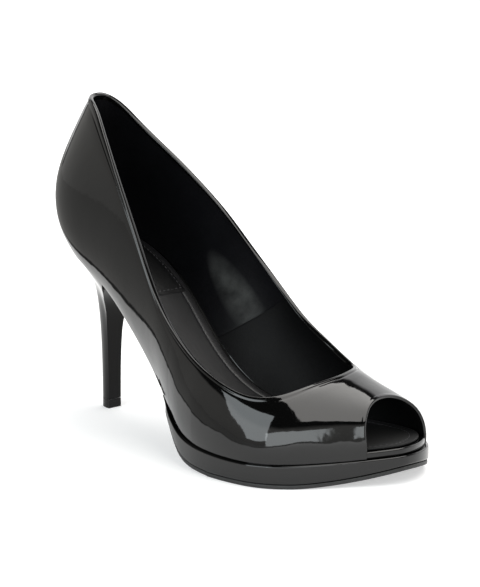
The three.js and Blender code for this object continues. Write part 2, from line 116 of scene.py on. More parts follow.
# Small reliefs that only the scene has, in millimetres unless a share is meant.
SHEET_STEP = 0.25  # grid of the upper, in steps round its border
CURL_FADE = 0.35  # share of the ring's sine at which the curl is whole
OPENING_BLEND = 1.5  # steps over which the border of the toe opening begins
FOLD_BLEND, BINDING_BLEND = 0.4, 0.7
BINDING_GROOVE = {"beyond": 0.5, "spread": 0.35, "depth": 0.12}
LIP_WIDTH, LIP_HEIGHT = 0.8, 0.2  # fold at the toe opening, shares of the binding's
RIM_BULGE, LIP_BULGE = 0.45, 0.85  # height of a rolled edge, share of half the wall
CAP_SHRINKS = (1.0, 0.85, 0.65, 0.45, 0.27, 0.12, 0.04)
FLOOR_SHRINKS = (0.0, 0.12, 0.4, 0.7, 1.0)
CORNER_TURNS = np.radians([15, 35, 55, 75, 90])
PLATE_STEPS = 150
INSOLE_ROUND, SOCK_ROUND, PLATFORM_ROUND, SOLE_ROUND = 0.9, 0.4, 0.7, 0.4
PLATFORM_SUNK = 0.1  # platform below the feather line
EDGE_AT_START, EDGE_BLEND = 0.1, 0.05  # platform's edge where it starts, and share of length
SEAT_SUNK = 0.06  # heel below the feather line
HEEL_STEPS, HEEL_ROWS, ROW_CROWDING = 48, 80, 1.25
THREAD_WIDTH, THREAD_SUNK = 0.45, 0.75  # the second is a share of the channel's depth
LABEL_CENTRE = (44.5, 1.5)
LABEL_EDGE, LABEL_CROWN, LABEL_RAISED = 0.22, 0.34, 0.52
LABEL_PRESS = {"place": 0.16, "spread": 0.035, "depth": 0.14}
LABEL_SEAM = 0.90  # stitches, share of half the label

# Places of the looks, in metres from the middle of the part
WAVES_FROM = 0.008  # forward of here the patent gets its waves
SHEEN_PLACE = (-0.0175, 0.0640)  # x and z of the painted sheen patch on the medial lining
SHEEN_LONG, SHEEN_ACROSS = 30.0, 105.0  # one over its half length and half width
SOCK_FRONT = 0.045  # forward of here the sock turns matt and gets painted shade
LINING_SEAM = (1.39, -0.0836)  # x = 1.39 z - 0.0836 parts the quarter lining from the vamp's


def length(name, default, description):
    """A size in metres with its unit, from millimetres."""
    return bpy.props.FloatProperty(name=name, default=default * MM, description=description,
                                   min=0.0, precision=4, unit="LENGTH")


def tint(name, default, description):
    """A colour with its swatch."""
    return bpy.props.FloatVectorProperty(name=name, default=default, description=description,
                                         size=3, min=0.0, max=1.0, subtype="COLOR")


SIZES = [
    ("length", 216, "Feather line, from the back of the seat to the toe"),
    ("ball_width", 88, "Feather width at the ball"),
    ("heel_width", 58, "Width of the upper round the heel"),
    ("heel_height", 89, "Floor to the feather line at the back"),
    ("counter_height", 70, "Feather line to the topline at the back"),
    ("instep_height", 62, "Feather line to the ridge of the last"),
    ("platform_thickness", 8.2, "Thickness of the platform"),
    ("sole_thickness", 2, "Thickness of the sole"),
    ("toe_spring", 6.5, "Lift of the sole under the tip of the toe"),
    ("feather_spring", 3, "Lift of the feather line at the toe"),
    ("wall", 1.8, "Upper with its lining"),
    ("insole_thickness", 3.4, "Thickness of the insole"),
    ("sock_thickness", 1, "Thickness of the sock"),
    ("sock_inset", 1.4, "Edge of the insole to the edge of the sock"),
    ("platform_edge", 1.3, "Platform beyond the feather line"),
    ("sole_edge", 0.5, "Sole behind the edge of the platform"),
    ("shank_inset", 4, "Sole behind the feather line along the waist"),
    ("seat_inset", 1, "Heel behind the feather line round the seat"),
    ("breast_place", 44, "Back of the seat to the breast of the heel"),
    ("tip_place", 16, "Back of the seat to the back of the heel tip"),
    ("tip_depth", 8.2, "Heel tip from back to breast"),
    ("tip_width", 7.8, "Heel tip across"),
    ("tip_height", 4.4, "Height of the top piece"),
    ("opening_width", 41, "Width of the toe opening"),
    ("opening_shift", 3, "Middle of the opening, medial of the toe tip"),
    ("opening_depth", 18.8, "Tip of the toe to the back of the opening"),
    ("lip_inset", 0.8, "Insole behind the feather line in the opening"),
    ("seat_margin", 0.6, "Insole let into the wall, behind the feather line"),
    ("gap", 0.3, "Clearance between pieces that meet"),
    ("binding_width", 2.1, "Folded edge along the topline"),
    ("binding_height", 0.3, "Folded edge above the patent beside it"),
    ("curl", 0.7, "Topline drawn in from the last"),
    ("curl_width", 8, "Distance over which the topline is drawn in"),
    ("fold_width", 2.8, "Patent folded over to the inside of the topline"),
    ("fold_height", 0.25, "Step from the fold to the lining"),
    ("channel_inset", 4.2, "Edge of the sock to its stitched channel"),
    ("channel_depth", 0.30, "Depth of the stitched channel"),
    ("label_length", 34, "Bare label patch along the sock"),
    ("label_width", 25, "Bare label patch across the sock"),
    ("stitch_length", 1.7, "One stitch"),
    ("stitch_pitch", 2.6, "From one stitch to the next"),
]


class PumpSizes(bpy.types.PropertyGroup):
    """Sizes of the shoe."""
    __annotations__ = {name: length(name.replace("_", " ").capitalize(), size, text)
                       for name, size, text in SIZES}


class PumpColours(bpy.types.PropertyGroup):
    """Colours of the finishes."""
    patent: tint("Patent", (0.0007, 0.0007, 0.0007), "Black patent of upper, platform and heel")
    lining: tint("Lining", (0.0022, 0.0022, 0.0026), "Lining of the upper")
    sock: tint("Sock", (0.0040, 0.0040, 0.0045), "Satin sock")
    label: tint("Label", (0.0020, 0.0020, 0.0022), "Label patch")
    thread: tint("Thread", (0.030, 0.030, 0.032), "Stitches")
    sole: tint("Sole", (0.008, 0.008, 0.008), "Sole and top piece")
    floor: tint("Floor", (0.60, 0.60, 0.60), "Floor")


def shade(colour, factor):
    """A colour made lighter or darker."""
    return tuple(c * factor for c in colour)


# Curves and tables

def natural_spline(xs, ys):
    """Natural cubic through the rows: second derivatives from one linear system, then the usual
    cubic between two rows, straight on at its ends."""
    xs, ys = np.asarray(xs, float), np.asarray(ys, float)
    n = len(xs)
    h = np.diff(xs)
    system, right = np.eye(n), np.zeros(n)
    inner = np.arange(1, n - 1)
    system[inner, inner - 1] = h[:-1]
    system[inner, inner] = 2 * (h[:-1] + h[1:])
    system[inner, inner + 1] = h[1:]
    right[inner] = 6 * np.diff(np.diff(ys) / h)
    bend = np.linalg.solve(system, right)

    def value(x):
        at = np.clip(x, xs[0], xs[-1])
        i = np.clip(np.searchsorted(xs, at, side="left"), 1, n - 1)
        step = xs[i] - xs[i - 1]
        a = (xs[i] - at) / step
        b = 1 - a
        return (a * ys[i - 1] + b * ys[i]
                + ((a**3 - a) * bend[i - 1] + (b**3 - b) * bend[i]) * step**2 / 6)
    return value


def columns(table, even=False):
    """Named columns of a table as splines over its first column, or over even steps."""
    names, rows = table[0], np.array(table[1:], float)
    base = np.linspace(0, 1, len(rows)) if even else rows[:, 0]
    return {name: natural_spline(base, rows[:, k]) for k, name in enumerate(names)}


def mix(a, b, share):
    return a + (b - a) * share


def smooth(share):
    """Smooth step of a share from 0 to 1."""
    share = np.clip(share, 0, 1)
    return share * share * (3 - 2 * share)


def eased(share):
    return (1 - np.cos(np.pi * share)) / 2


def round_end(share, fullness):
    """0 at the end of the last, 1 past its round end: root of 1 - (1 - share)^fullness."""
    return np.sqrt(1 - (1 - np.clip(share, 0, 1)) ** fullness)


def spline_weights(t):
    """Weights of the seven control points of the clamped cubic B-spline, by its recursion."""
    t = np.asarray(t, float)
    spans = zip(KNOTS, KNOTS[1:])
    row = [np.where(((t >= low) & (t < high)) | ((t >= 1) & (i == 6)), 1.0, 0.0)
           for i, (low, high) in enumerate(spans)]
    for degree in (1, 2, 3):
        following = []
        for i in range(len(row) - 1):
            rising = KNOTS[i + degree] - KNOTS[i]
            falling = KNOTS[i + degree + 1] - KNOTS[i + 1]
            a = (t - KNOTS[i]) / rising * row[i] if rising > 0 else 0
            b = (KNOTS[i + degree + 1] - t) / falling * row[i + 1] if falling > 0 else 0
            following.append(a + b)
        row = following
    return row


class Last:
    """The last and what is cut from it, in millimetres, from the sizes of a property group."""

    def __init__(self, sizes):
        for name, _, _ in SIZES:
            setattr(self, name, getattr(sizes, name) / MM)
        self.forefoot = self.sole_thickness + self.platform_thickness + 2 * self.gap
        self.section = columns(SECTIONS)
        self.back = columns(BACK_CURVE)["forward"]
        self.topline = columns(TOPLINE, even=True)
        self.opening = columns(OPENING)["depth"]
        self.wedge = columns(WEDGE)["drop"]
        self.ring = columns(HEEL_RINGS)
        self.corner = {side: self.opening_corner(side) for side in (-1, 1)}
        place = self.tip_place / self.length
        self.tip_centre = self.width(place) * self.section["centre"](place)
        low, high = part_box("heel_tip")
        self.origin = np.array([self.tip_place - low.x / MM,
                                self.tip_centre - (low.y + high.y) / 2 / MM, 0.0])

    def metres(self, points):
        """From the sizes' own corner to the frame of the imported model, in metres."""
        return (np.asarray(points, float) - self.origin) * MM

    def width(self, along):
        return mix(self.heel_width, self.ball_width, self.section["ball"](along))

    def feather_height(self, x):
        along = x / self.length
        rise = (self.heel_height - self.forefoot) * self.section["rise"](along)
        return self.forefoot + rise + self.feather_spring * self.section["lift"](along)

    def ends(self, along):
        return (round_end(along / HEEL_ROUNDING, HEEL_FULLNESS)
                * round_end((1 - along) / TOE_ROUNDING, TOE_FULLNESS))

    def surface(self, along, girth):
        """Point of the last: a cubic B-spline across seven control points from the lateral
        feather line over the ridge to the medial one, with the back curve's push forward."""
        s = self.section
        tall = mix(self.counter_height, self.instep_height, s["ball"](along)) * s["ridge"](along)
        halves = (-s["feather_l"](along), -s["bulge_l"](along) * BULGE_PULL,
                  -s["shoulder_l"](along) * SHOULDER_PULL, 0 * along,
                  s["shoulder_m"](along) * SHOULDER_PULL, s["bulge_m"](along) * BULGE_PULL,
                  s["feather_m"](along))
        heights = (0, BULGE_HEIGHT, SHOULDER_HEIGHT, 1, SHOULDER_HEIGHT, BULGE_HEIGHT, 0)
        weights = spline_weights(np.clip(girth, 0, 1))
        across = sum(w * half for w, half in zip(weights, halves))
        height = sum(w * high for w, high in zip(weights, heights)) * tall
        fade = np.exp(-((along / BACK_FADE) ** 2))
        forward = self.heel_width * self.back(height / self.counter_height) * fade
        x = along * self.length
        y = self.width(along) * (s["centre"](along) + across * self.ends(along))
        return np.stack([x + forward, y, self.feather_height(x) + height], -1)

    def feather(self, along, side):
        name = np.where(side < 0, self.section["feather_l"](along),
                        self.section["feather_m"](along))
        y = self.width(along) * (self.section["centre"](along) + side * name * self.ends(along))
        return np.stack([along * self.length, y], -1)

    def share_of(self, x):
        return np.arccos(1 - 2 * np.clip(x, 0, self.length) / self.length) / np.pi

    def edge(self, share, side, inset):
        """The feather line in plan, moved inwards along its own normal by an inset."""
        step = 1e-4
        point = self.feather(eased(share), side)
        run = (self.feather(eased(np.minimum(1, share + step)), side)
               - self.feather(eased(np.maximum(0, share - step)), side))
        run = run / np.linalg.norm(run, axis=-1, keepdims=True)
        run = np.where((share <= 0)[..., None], np.stack([0 * share, side + 0 * share], -1), run)
        run = np.where((share >= 1)[..., None], np.stack([0 * share, -side + 0 * share], -1), run)
        return point + (side * inset)[..., None] * np.stack([run[..., 1], -run[..., 0]], -1)

    def opening_corner(self, side):
        """Place on the feather line where the toe opening ends, by halving."""
        middle = self.feather(1.0, side)[1] + self.opening_shift
        near, far = 1.0, 1 - TOE_ROUNDING
        for _ in range(40):
            tried = (near + far) / 2
            inside = abs(self.feather(tried, side)[1] - middle) < self.opening_width / 2
            near, far = (tried, far) if inside else (near, tried)
        return near

    def lip(self, share, side):
        """Inset of the insole: let into the wall so that no light shows, and at the feather line
        in the toe opening."""
        corner = self.share_of(self.corner[side] * self.length)
        way = (share - corner) / (LIP_BLEND * (1 - corner))
        return mix(self.seat_margin, self.lip_inset, smooth(way))

    def sock_edge(self, share, side):
        """Inset of the sock: inside the wall, whatever the insole does."""
        return np.maximum(self.lip(share, side), self.wall + self.gap) + self.sock_inset

    def sole_bottom(self, x):
        along = x / self.length
        shank = self.feather_height(x) - self.gap - self.sole_thickness
        wedge = np.maximum(0, self.feather_height(x) - self.forefoot * self.wedge(along))
        spring = np.maximum(0, (along - SPRING_START) / (1 - SPRING_START)) ** SPRING_POWER
        ball = np.where(along < SOLE_BALL, wedge, self.toe_spring * spring)
        return np.where(along < WEDGE_START, shank, ball)

    def sole_inset(self, share, side):
        way = smooth((eased(share) - SHANK_END) / SHANK_BLEND)
        return mix(self.shank_inset, self.sole_edge - self.platform_edge, way)


# Meshes

def add_object(name, data):
    """An object in the scene, at the origin."""
    made = bpy.data.objects.new(name, data)
    bpy.context.scene.collection.objects.link(made)
    return made


def mesh_object(name, points, faces, smooth_angle=40.0, slots=None):
    """A mesh from arrays, doubles merged, normals outwards, sharp only past an angle."""
    mesh = bpy.data.meshes.new(name)
    mesh.from_pydata(points.reshape(-1, 3).tolist(), [], faces.tolist())
    if slots is not None:
        mesh.polygons.foreach_set("material_index", slots.astype(np.int32))
    work = bmesh.new()
    work.from_mesh(mesh)
    bmesh.ops.remove_doubles(work, verts=work.verts, dist=2e-6)
    bmesh.ops.dissolve_degenerate(work, dist=1e-7, edges=work.edges)
    bmesh.ops.recalc_face_normals(work, faces=work.faces)
    work.to_mesh(mesh)
    work.free()
    mesh.shade_smooth()
    mesh.set_sharp_from_angle(angle=math.radians(smooth_angle))
    return add_object(name, mesh)


def grid_faces(rows, count, closed_rows):
    """Quads of a grid that closes on itself along its columns, and along its rows if asked."""
    j = np.arange(count)
    i = np.arange(rows if closed_rows else rows - 1)[:, None]
    after_i, after_j = (i + 1) % rows, (j + 1) % count
    return np.stack([i * count + j, i * count + after_j,
                     after_i * count + after_j, after_i * count + j], -1).reshape(-1, 4)


def patch_faces(rows, count):
    """Quads of a grid with open edges."""
    i, j = np.meshgrid(np.arange(rows - 1), np.arange(count - 1), indexing="ij")
    first = (i * count + j).ravel()
    return np.stack([first, first + 1, first + count + 1, first + count], -1)


def unit(vectors):
    return vectors / np.maximum(np.linalg.norm(vectors, axis=-1, keepdims=True), 1e-12)


def upper_sheet(last, u, v):
    """Outer surface of the upper. u runs round the border in steps, v from the topline (0) down
    to the feather line or the toe opening (1): a straight mix of both places on the last."""
    lateral, medial = u < SIDE_STEPS, u > SIDE_STEPS + OPENING_STEPS
    limit = {s: last.share_of(last.corner[s] * last.length) for s in (-1, 1)}
    girth = np.clip((u - SIDE_STEPS) / OPENING_STEPS, 0, 1)
    corner = mix(last.corner[-1], last.corner[1], girth)
    along = mix(corner, 1 - last.opening_depth / last.length, last.opening(girth))
    along = np.where(lateral, eased(limit[-1] * u / SIDE_STEPS), along)
    along = np.where(medial, eased(limit[1] * (RING_STEPS - u) / SIDE_STEPS), along)
    place = mix(THROAT_LATERAL, THROAT_MEDIAL, girth)
    from_back, to_back = ((np.maximum(steps / SIDE_STEPS, 0)) ** BACK_CROWDING
                          for steps in (u, RING_STEPS - u))
    place = np.where(lateral, THROAT_LATERAL * from_back, place)
    place = np.where(medial, 1 - (1 - THROAT_MEDIAL) * to_back, place)
    top_along = np.maximum(0, last.topline["along"](place))
    top_girth = last.topline["girth"](place)
    v = v[:, None]
    return last.surface(mix(top_along, along, v), mix(top_girth, girth, v))


def build_upper(last):
    """The upper with its folded edges: outer sheet, rolled rim at the topline, inner sheet a wall
    inside it along the normals, and rolled or flat lower edge, as one closed grid."""
    u = np.arange(0, RING_STEPS, SHEET_STEP)
    v = np.concatenate([np.linspace(0, 0.06, 11), np.linspace(0.06, 0.94, 47)[1:-1],
                        np.linspace(0.94, 1, 9)])
    outer = upper_sheet(last, u, v)
    down = np.gradient(outer, axis=0)
    around = np.roll(outer, -1, 1) - np.roll(outer, 1, 1)
    normal = unit(np.cross(down, around))
    steps = np.linalg.norm(np.diff(outer, axis=0), axis=-1)
    from_top = np.vstack([np.zeros(len(u)), np.cumsum(steps, 0)])
    curl = last.curl * np.clip(1 - from_top / last.curl_width, 0, 1) ** 2
    curl = curl * smooth(np.sin(np.pi * u / RING_STEPS) / CURL_FADE)
    outer = outer - normal * curl[..., None]
    folded = smooth((last.fold_width - from_top) / FOLD_BLEND)
    inner = outer - (last.wall + last.fold_height * folded)[..., None] * normal
    inner[..., 2] = np.maximum(inner[..., 2], last.feather_height(inner[..., 0]))
    from_low = from_top[-1] - from_top
    in_opening = (smooth((u - SIDE_STEPS) / OPENING_BLEND)
                  * smooth((SIDE_STEPS + OPENING_STEPS - u) / OPENING_BLEND))
    band = smooth((last.binding_width - from_top) / BINDING_BLEND)
    from_groove = from_top - last.binding_width - BINDING_GROOVE["beyond"]
    groove = BINDING_GROOVE["depth"] * np.exp(-(from_groove / BINDING_GROOVE["spread"]) ** 2)
    lip = smooth((last.binding_width * LIP_WIDTH - from_low) / BINDING_BLEND) * in_opening
    outer = outer + normal * (last.binding_height * (band + LIP_HEIGHT * lip) - groove)[..., None]
    turn = np.linspace(0, np.pi, 9)[1:-1, None, None]
    edges = []
    for row, sign, bulge in ((0, -1, RIM_BULGE), (-1, 1, LIP_BULGE * in_opening)):
        middle = (outer[row] + inner[row]) / 2
        across = (outer[row] - inner[row]) / 2
        out = sign * unit(down[row])
        size = (np.linalg.norm(across, axis=-1) * bulge)[:, None]
        edges.append(middle + across * np.cos(turn) + out * size * np.sin(turn))
    top_rim, low_rim = edges
    sheet = np.concatenate([top_rim[::-1], outer, low_rim, inner[::-1]])
    rows, count = len(sheet), len(u)
    faces = grid_faces(rows, count, True)
    inside_from = len(top_rim) + len(outer) + len(low_rim)
    finish = np.ones((rows, count), int)
    finish[:inside_from + 4] = 0
    inner_top = from_top[::-1] < last.fold_width
    finish[inside_from:][inner_top] = 0
    return mesh_object("patent_upper", last.metres(sheet), faces, 60.0, finish.ravel())


def outline(last, start, inset, count, closing=0):
    """A ring in plan: the lateral edge from heel to toe, the medial edge back, and a straight
    closing line at a cut end, with the midpoints that it shrinks to."""
    share = np.linspace(start, 1, count)
    lateral = last.edge(share, -1, inset(share, -1))
    medial = last.edge(share, 1, inset(share, 1))
    ring = np.concatenate([lateral, medial[::-1]])
    middle = np.concatenate([(lateral + medial) / 2, (lateral + medial)[::-1] / 2])
    if closing:
        way = np.linspace(0, 1, closing + 2)[1:-1, None]
        ring = np.concatenate([ring, mix(medial[:1], lateral[:1], way)])
        middle = np.concatenate([middle, np.repeat((lateral[:1] + medial[:1]) / 2, closing, 0)])
    return ring, middle


def build_plate(last, name, start, inset, top, bottom, radius, relief=(), closing=0):
    """A plate under the foot: the outline carried down a profile of top, rounded edge, side and
    rounded lower edge. relief lists (distance from the edge, height) on the top."""
    inner = list(relief) or [(radius, 0.0)]
    deepest, level = inner[-1]
    rows = [(deepest, shrink, top, level) for shrink in CAP_SHRINKS]
    rows += [(distance, 0.0, top, height) for distance, height in inner[::-1]]
    rounded = [(radius * (1 - np.sin(a)), radius * (1 - np.cos(a))) for a in CORNER_TURNS]
    rows += [(distance, 0.0, top, -drop) for distance, drop in rounded]
    rows += [(distance, 0.0, bottom, drop) for distance, drop in rounded[::-1]]
    rows += [(radius, shrink, bottom, 0.0) for shrink in FLOOR_SHRINKS]
    sheet = []
    for distance, shrink, height, extra in rows:
        ring, middle = outline(last, start, lambda s, side, d=distance: inset(s, side) + d,
                               PLATE_STEPS, closing)
        spot = mix(ring, middle, shrink)
        sheet.append(np.column_stack([spot, height(spot[:, 0]) + extra]))
    sheet = np.array(sheet)
    return mesh_object(name, last.metres(sheet), grid_faces(len(sheet), sheet.shape[1], False))


def build_heel(last):
    """The heel cover: the outline of the seat moves to the outline of the tip down the table of
    rings, with its own share at the back, the breast and the sides."""
    step = np.arange(-HEEL_STEPS, HEEL_STEPS + 1) / HEEL_STEPS
    side = np.where(step < 0, -1, 1)
    share = last.share_of(last.breast_place) * np.abs(step)
    seat = np.where((side < 0)[:, None], last.edge(share, -1, last.seat_inset + 0 * share),
                    last.edge(share, 1, last.seat_inset + 0 * share))
    seat[:, 0] = np.minimum(seat[:, 0], last.breast_place)
    turn = np.clip(np.abs(step) / (1 - TIP_STRAIGHT / 2), 0, 1) * np.pi / 2
    straight = np.clip((np.abs(step) - 1 + TIP_STRAIGHT / 2) / (TIP_STRAIGHT / 2), 0, 1)
    tip = np.stack([last.tip_place + last.tip_depth * (1 - TIP_STRAIGHT) * (1 - np.cos(turn))
                    + last.tip_depth * TIP_STRAIGHT * straight,
                    last.tip_centre + np.sign(step) * last.tip_width / 2 * np.sin(turn)], -1)
    way = np.linspace(0, 1, 10)[1:-1, None]
    seat = np.concatenate([seat, mix(seat[-1:], seat[:1], way)])
    tip = np.concatenate([tip, mix(tip[-1:], tip[:1], way)])
    back = seat[:, 0].min()
    breast = np.clip((seat[:, 0] - back) / (last.breast_place - back), 0, 1) ** BREAST_POWER
    drop = np.linspace(0.03, 1, HEEL_ROWS) ** ROW_CROWDING
    ring = {name: last.ring[name](drop)[:, None] for name in ("back", "breast", "side")}
    x = mix(seat[:, 0], tip[:, 0], mix(ring["back"], ring["breast"], breast))
    y = mix(seat[:, 1], tip[:, 1], ring["side"])
    top = last.feather_height(seat[:, 0]) - SEAT_SUNK
    z = mix(top, last.tip_height + last.gap, drop[:, None])
    body = np.stack([x, y, z], -1)
    body = np.concatenate([np.column_stack([seat, top])[None], body])
    caps = [body[i].mean(0) + 0 * body[i] for i in (0, -1)]
    caps[0][:, 2] = body[0][:, 2].mean()
    sheet = np.concatenate([caps[0][None], mix(body[:1], caps[0][None], 0.06), body,
                            caps[1][None]])
    return mesh_object("heel_cover", last.metres(sheet),
                       grid_faces(len(sheet), sheet.shape[1], False), 35.0)


def sock_top(last):
    """Height of the top of the sock over x."""
    rise = last.insole_thickness + last.gap + last.sock_thickness
    return lambda x: last.feather_height(x) + rise


def capsules(name, centres, runs, normals, size, width):
    """Stitches: each a flat ellipsoid along its run, all of them worked out as one array."""
    rings, sides = 5, 8
    a = np.linspace(0, np.pi, rings)[:, None]
    b = np.linspace(0, 2 * np.pi, sides, endpoint=False)[None]
    shape = np.stack([-np.cos(a) * size / 2 + 0 * b, np.sin(a) * np.cos(b) * width / 2,
                      np.sin(a) * np.sin(b) * width / 2], -1).reshape(-1, 3)
    third = np.cross(normals, runs)
    points = (centres[:, None] + shape[None, :, :1] * runs[:, None]
              + shape[None, :, 1:2] * third[:, None] + shape[None, :, 2:] * normals[:, None])
    one = grid_faces(rings, sides, False)
    faces = (one[None] + (np.arange(len(centres)) * rings * sides)[:, None, None]).reshape(-1, 4)
    return mesh_object(name, points, faces, 180.0)


def even_places(path, pitch, reach=0.2):
    """Centres and directions at even distances along a path of points."""
    steps = np.linalg.norm(np.diff(path, axis=0), axis=-1)
    travelled = np.concatenate([[0], np.cumsum(steps)])
    at = np.arange(pitch / 2, travelled[-1], pitch)

    def point(distance):
        return np.stack([np.interp(distance, travelled, line) for line in path.T], -1)
    return point(at), unit(point(at + reach) - point(at - reach))


# Shader maths

class Value:
    """A socket with number maths: an expression on values adds its Math nodes."""

    def __init__(self, look, socket):
        self.look, self.socket = look, socket

    def math(self, operation, *others):
        values = [other.socket if isinstance(other, Value) else other for other in others]
        return self.look.node("ShaderNodeMath", {"operation": operation},
                              dict(enumerate(values)))

    def operator(operation, reflected=False):
        """The method of an operator, or of its reflected form."""
        def method(self, other):
            pair = (other, self) if reflected else (self, other)
            return self.math(operation, *pair)
        return method

    __add__ = __radd__ = operator("ADD")
    __mul__ = __rmul__ = operator("MULTIPLY")
    __sub__, __rsub__ = operator("SUBTRACT"), operator("SUBTRACT", True)
    __truediv__ = operator("DIVIDE")

    def clip(self):
        return self.math("MINIMUM", self.math("MAXIMUM", self, 0.0), 1.0)

    def sine(self):
        return self.math("SINE", self)

    def size(self):
        return self.math("ABSOLUTE", self)


class Look:
    """A material under construction."""

    def __init__(self, name):
        self.material = bpy.data.materials.new(name)
        self.material.use_nodes = True
        self.tree = self.material.node_tree
        self.shader = self.tree.nodes["Principled BSDF"]

    @classmethod
    def of_tree(cls, tree):
        """The same helpers for a tree that isn't a material's."""
        look = cls.__new__(cls)
        look.tree = tree
        return look

    def node(self, kind, settings=None, inputs=None, output=0):
        """One node: settings first, then the values or links of its sockets."""
        made = self.tree.nodes.new(kind)
        for key, value in (settings or {}).items():
            if key == "stops":
                ramp = made.color_ramp
                while len(ramp.elements) < len(value):
                    ramp.elements.new(0.5)
                for element, (at, colour) in zip(ramp.elements, value):
                    element.position, element.color = at, (*colour, 1)
            else:
                setattr(made, key, value)
        for key, value in (inputs or {}).items():
            socket = made.inputs[key]
            source = value.socket if isinstance(value, Value) else value
            if isinstance(source, bpy.types.NodeSocket):
                self.tree.links.new(source, socket)
            else:
                socket.default_value = source
        return Value(self, made.outputs[output])

    def place(self, scale=(1.0, 1.0, 1.0)):
        """Object coordinates in metres, times a scale."""
        coordinate = self.node("ShaderNodeTexCoord", output=3)
        return self.node("ShaderNodeMapping", None, {"Vector": coordinate, "Scale": scale})

    def axes(self, where):
        """The three numbers of a vector."""
        parts = self.node("ShaderNodeSeparateXYZ", None, {0: where}).socket.node
        return [Value(self, output) for output in parts.outputs]

    def noise(self, scale, detail=2.0, roughness=0.5, where=None):
        return self.node("ShaderNodeTexNoise", None, {
            "Vector": where or self.place(), "Scale": scale, "Detail": detail,
            "Roughness": roughness})

    def cells(self, scale):
        """Distance to the borders of the cells of a close grain."""
        return self.node("ShaderNodeTexVoronoi", {"feature": "DISTANCE_TO_EDGE"},
                         {"Vector": self.place(), "Scale": scale})

    def blend(self, a, b, share):
        """Two colours mixed by a share."""
        def colour(c):
            return c if isinstance(c, Value) else (*c, 1.0)
        return self.node("ShaderNodeMix", {"data_type": "RGBA"},
                         {"Factor": share, 6: colour(a), 7: colour(b)}, output=2)

    def bump(self, height, distance, strength=1.0, before=None):
        inputs = {"Height": height, "Distance": distance, "Strength": strength}
        if before is not None:
            inputs["Normal"] = before
        return self.node("ShaderNodeBump", None, inputs)

    def set(self, **values):
        """Sets or links sockets of the shader: base_color is Base Color, and so on."""
        for key, value in values.items():
            socket = self.shader.inputs[key.replace("_", " ").title().replace("Ior", "IOR")]
            if isinstance(value, Value):
                self.tree.links.new(value.socket, socket)
            else:
                socket.default_value = (*value, 1.0) if isinstance(value, tuple) else value


def patent_look(name, colour, wave=1.0, shine=0.5):
    """Black patent: a clear film over dyed leather. Broad waves, strongest over the toes, bend
    its reflections, and a faint grain and a few dull specks break the film."""
    look = Look(name)
    x, _, _ = look.axes(look.place())
    fore = ((x - WAVES_FROM) * 45.0).clip() * 0.85 + 0.15
    broad = look.noise(34.0, 1.0, 0.4)
    ripple = look.noise(120.0, 2.0, 0.5)
    grain = look.noise(900.0, 3.0, 0.6)
    specks = (look.noise(2600.0, 1.0, 0.5) - 0.66).clip() * 6.0
    bent = look.bump(broad * fore, 0.0015 * wave, 1.0)
    rippled = look.bump(ripple, 0.00009 * wave, 1.0, bent)
    lit = look.blend(colour, shade(colour, 2.2), broad * 0.6 + grain * 0.4)
    look.set(base_color=lit, roughness=0.045 + grain * 0.03 + specks * 0.1,
             normal=rippled, ior=1.46, specular_ior_level=shine)
    return look.material


def lining_look(name, colour):
    """Lining: smooth black synthetic with a fine weave. Its quarter part is glossier than its vamp
    part, and a sewn seam parts the two. A lighter patch on the medial quarter is painted sheen, a
    painted reflection in the base colour."""
    look = Look(name)
    x, _, z = look.axes(look.place())
    weave = (x * 6500.0).sine() * (z * 6500.0).sine()
    cloud = look.noise(60.0, 4.0, 0.6)
    crease = look.noise(24.0, 1.0, 0.5)
    beyond = x - z * LINING_SEAM[0] - LINING_SEAM[1]
    vamp = (beyond * 1500.0 + 0.5).clip()
    seam = (1 - (beyond.size() / 0.0012)).clip()
    # painted sheen: a soft lighter patch in the base colour of the medial quarter lining, standing
    # in for a reflection
    away_x, away_z = (x - SHEEN_PLACE[0]) * 1.2, z - SHEEN_PLACE[1]
    across = (away_x * 0.60 + away_z * 0.80) * SHEEN_ACROSS
    down = (away_x * 0.80 - away_z * 0.60) * SHEEN_LONG
    painted_sheen_spot = (1 - (down * down + across * across)).clip()
    painted_sheen = painted_sheen_spot * ((cloud - 0.3) * 2.0).clip() * (1 - vamp)
    plain = look.blend(colour, shade(colour, 2.0), cloud)
    # the painted sheen lightens the base colour over the patch
    lit = look.blend(plain, (0.055, 0.057, 0.055), painted_sheen)
    first = look.bump(weave, 0.00004, 0.5)
    second = look.bump(1 - seam, 0.0002, 1.0, first)
    look.set(base_color=look.blend(lit, shade(colour, 0.4), vamp),
             roughness=cloud * 0.16 + vamp * 0.26 + 0.24,
             normal=look.bump(crease, 0.0030, 1.0, second), specular_ior_level=0.15)
    return look.material


def sock_look(name, colour, dull=0.34, shine=0.42):
    """Sock: coated satin leather, close grain; matt with painted shade towards the toes."""
    look = Look(name)
    grain = look.cells(1500.0)
    cloud = look.noise(40.0, 4.0, 0.6)
    x, _, _ = look.axes(look.place())
    toe_shade_and_matt = ((x - SOCK_FRONT) * 30.0).clip()
    lit = look.blend(colour, shade(colour, 1.9), cloud)
    # painted shade: the colour darkens towards the toes, where the vamp shades the sock
    dark = look.blend(lit, shade(colour, 0.2), toe_shade_and_matt)
    pressed = look.bump(grain, 0.00012, 0.5)
    look.set(base_color=dark, roughness=dull + cloud * 0.14 + toe_shade_and_matt * 0.4, normal=pressed,
             specular_ior_level=shine)
    return look.material


def thread_look(name, colour):
    """Thread: twisted strands seen as slanting ridges."""
    look = Look(name)
    twist = look.node("ShaderNodeTexWave", {"bands_direction": "DIAGONAL"},
                      {"Vector": look.place(), "Scale": 900.0, "Distortion": 1.0})
    lit = look.blend(colour, shade(colour, 1.8), twist)
    look.set(base_color=lit, roughness=0.6, normal=look.bump(twist, 0.0001, 0.6))
    return look.material


